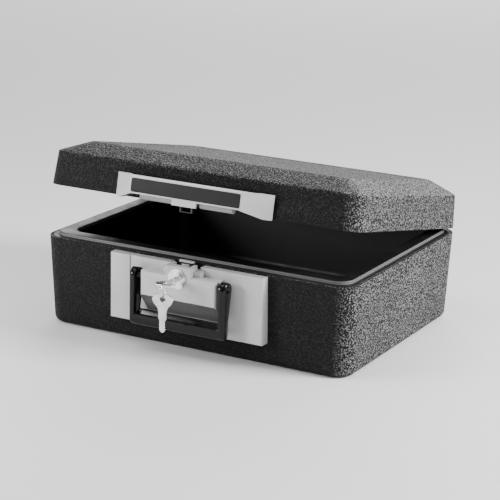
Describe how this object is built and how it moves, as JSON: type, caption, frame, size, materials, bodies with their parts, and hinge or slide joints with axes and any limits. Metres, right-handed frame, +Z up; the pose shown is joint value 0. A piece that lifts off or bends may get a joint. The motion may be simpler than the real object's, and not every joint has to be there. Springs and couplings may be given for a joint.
{
  "type": "fireproof document box",
  "caption": "Fireproof document box with a tapered insulated body, hinged chamfered lid ajar, lid latch, key lock with keys on a ring, and a folding bail handle.",
  "frame": {"origin": "centre of the base's footprint, on the ground it stands on", "axes": "+X to the right seen from the lock side, +Y towards the rear hinges, +Z up"},
  "size_m": [0.39, 0.3653, 0.2087],
  "materials": {
    "shell": "fine pebbled moulded black",
    "liner": "satin black",
    "insulation": "rough cast fill",
    "silver": "satin silver",
    "bar": "satin grey",
    "label": "satin dark grey, blank",
    "handle": "semi-gloss black",
    "lock_chrome": "bright, lightly worn",
    "key_nickel": "bright nickel",
    "zinc": "plain zinc",
    "hinge": "black painted steel",
    "steel": "bright steel"
  },
  "bodies": {
    "base": {"base_shell": "shell", "base_insulation": "insulation", "base_liner": "liner", "front_plate": "silver", "lock_housing": "silver", "handle_pins": "hinge", "strike_tab": "silver", "lock_barrel": "lock_chrome", "base_hinge_left": "hinge", "base_hinge_right": "hinge", "hinge_pins": "steel", "base_hinge_screws": "steel"},
    "lid": {"lid_shell": "shell", "lid_insulation": "insulation", "lid_liner": "liner", "latch_mount": "hinge", "latch_pins": "steel", "lid_hinge_left": "hinge", "lid_hinge_right": "hinge", "lid_hinge_screws": "steel"},
    "latch": {"latch_lever": "silver", "label_plate": "label", "latch_bars": "bar", "latch_keeper": "hinge"},
    "handle": {"handle_bail": "handle"},
    "lock": {"lock_plug": "lock_chrome", "lock_cam": "zinc", "lock_key": "key_nickel"},
    "bolt": {"lock_bolt": "zinc"},
    "ring": {"key_ring": "key_nickel"},
    "spare": {"spare_key": "key_nickel"}
  },
  "joints": [
    {"name": "lid_hinge", "type": "hinge", "parent": "base", "child": "lid", "pos_m": [0, 0.151, 0.103], "axis": [-1, 0, 0], "range_deg": [-11.6, 73.4]},
    {"name": "latch_pivot", "type": "hinge", "parent": "lid", "child": "latch", "pos_m": [0, -0.14257, 0.1847], "axis": [-1, 0, 0], "range_deg": [0, 30]},
    {"name": "handle_swing", "type": "hinge", "parent": "base", "child": "handle", "pos_m": [0, -0.166, 0.085], "axis": [-1, 0, 0], "range_deg": [0, 62]},
    {"name": "lock_turn", "type": "hinge", "parent": "base", "child": "lock", "pos_m": [0, -0.165, 0.0897], "axis": [0, 1, 0], "range_deg": [0, 90]},
    {"name": "bolt_slide", "type": "slide", "parent": "base", "child": "bolt", "axis": [0, -1, 0], "range_m": [0, 0.005]},
    {"name": "ring_swing", "type": "hinge", "parent": "lock", "child": "ring", "pos_m": [0, -0.2004, 0.0897], "axis": [-0.9781, -0.2079, 0], "range_deg": [0, 78]},
    {"name": "spare_swing", "type": "hinge", "parent": "ring", "child": "spare", "pos_m": [0, -0.2004, 0.0767], "axis": [-0.9781, -0.2079, 0], "range_deg": [-12, 12]}
  ],
  "couplings": [
    {"joint": "bolt_slide", "follows": "lock_turn", "m_per_rad": 0.00318},
    {"joint": "ring_swing", "follows": "handle_swing", "ratio": 1.2}
  ]
}
